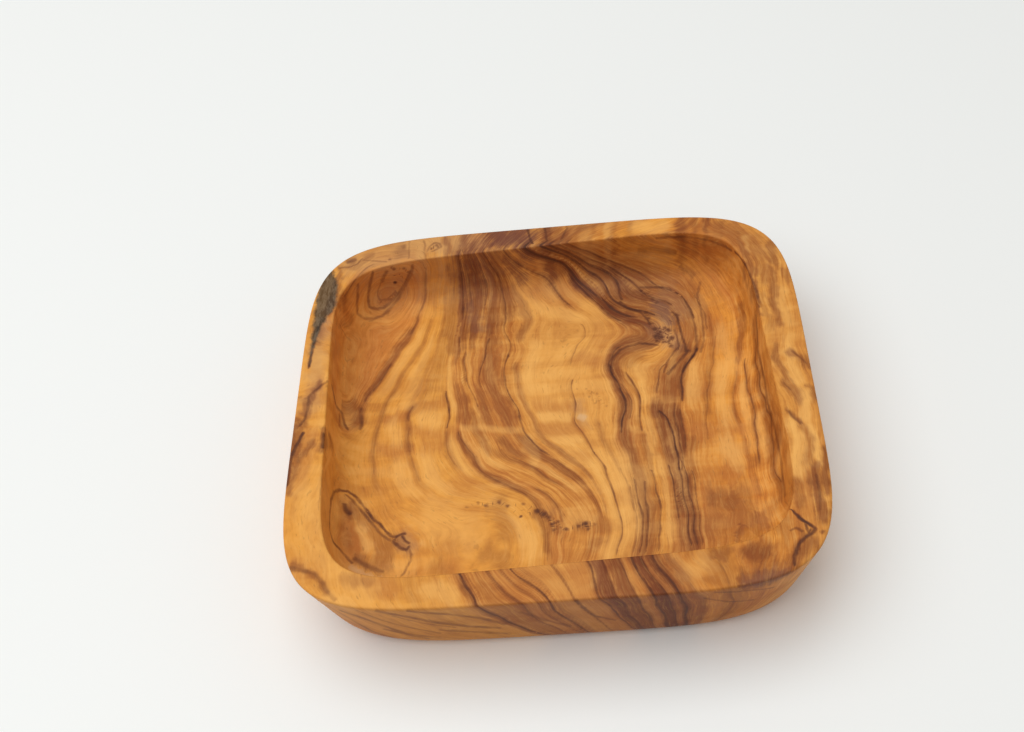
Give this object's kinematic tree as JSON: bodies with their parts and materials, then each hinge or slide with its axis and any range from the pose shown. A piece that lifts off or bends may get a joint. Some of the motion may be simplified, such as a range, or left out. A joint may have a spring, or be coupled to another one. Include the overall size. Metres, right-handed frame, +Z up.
{
  "type": "dipping dish",
  "caption": "Shallow soft-cornered square dish carved from one block of olive wood, with a flat rim, walls that lean in to the foot, and a coved recess that holds oil, salt or sauce.",
  "frame": {"origin": "middle of the flat underside, below the centre of the rim's outline", "axes": "+X along the longer side, +Y along the shorter side away from the viewer of the picture, +Z up out of the recess"},
  "size_m": [0.115, 0.109, 0.022],
  "materials": {
    "olive_wood": "oiled satin"
  },
  "bodies": {
    "root": {"dish_body": "olive_wood"}
  },
  "joints": []
}
